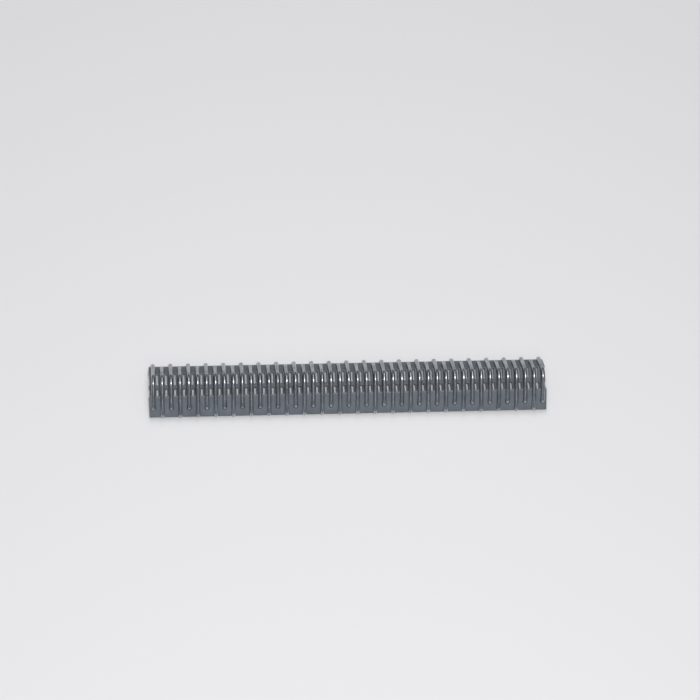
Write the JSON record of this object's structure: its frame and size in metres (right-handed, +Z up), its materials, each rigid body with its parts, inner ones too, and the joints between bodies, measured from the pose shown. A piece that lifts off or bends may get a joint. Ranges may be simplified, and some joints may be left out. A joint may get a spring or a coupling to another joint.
{
  "type": "belt fastener strip",
  "caption": "Folded card strip carrying a row of bent steel wire hooks with inward points, pressed onto the end of a conveyor belt so that a hinge pin joins it through the crowns.",
  "frame": {"origin": "centre of the strip's underside, at the level of the tips of the long points that it stands on", "axes": "+X along the strip from the first hook to the last, -Y towards the front, +Z up through the crowns"},
  "size_m": [0.1774, 0.0266, 0.0155],
  "materials": {
    "wire": "bright drawn wire",
    "card": "matt dark grey fibre card"
  },
  "bodies": {
    "root": {"carrier_card": "card", "hook_01": "wire", "hook_02": "wire", "hook_03": "wire", "hook_04": "wire", "hook_05": "wire", "hook_06": "wire", "hook_07": "wire", "hook_08": "wire", "hook_09": "wire", "hook_10": "wire", "hook_11": "wire", "hook_12": "wire", "hook_13": "wire", "hook_14": "wire", "hook_15": "wire", "hook_16": "wire", "hook_17": "wire", "hook_18": "wire", "hook_19": "wire", "hook_20": "wire", "hook_21": "wire", "hook_22": "wire", "hook_23": "wire", "hook_24": "wire", "hook_25": "wire", "hook_26": "wire", "hook_27": "wire", "hook_28": "wire", "hook_29": "wire", "hook_30": "wire", "hook_31": "wire", "hook_32": "wire", "hook_33": "wire", "hook_34": "wire", "hook_35": "wire", "hook_36": "wire", "hook_37": "wire", "hook_38": "wire", "hook_39": "wire", "hook_40": "wire", "hook_41": "wire", "hook_42": "wire", "hook_43": "wire", "hook_44": "wire", "hook_45": "wire"}
  },
  "joints": []
}
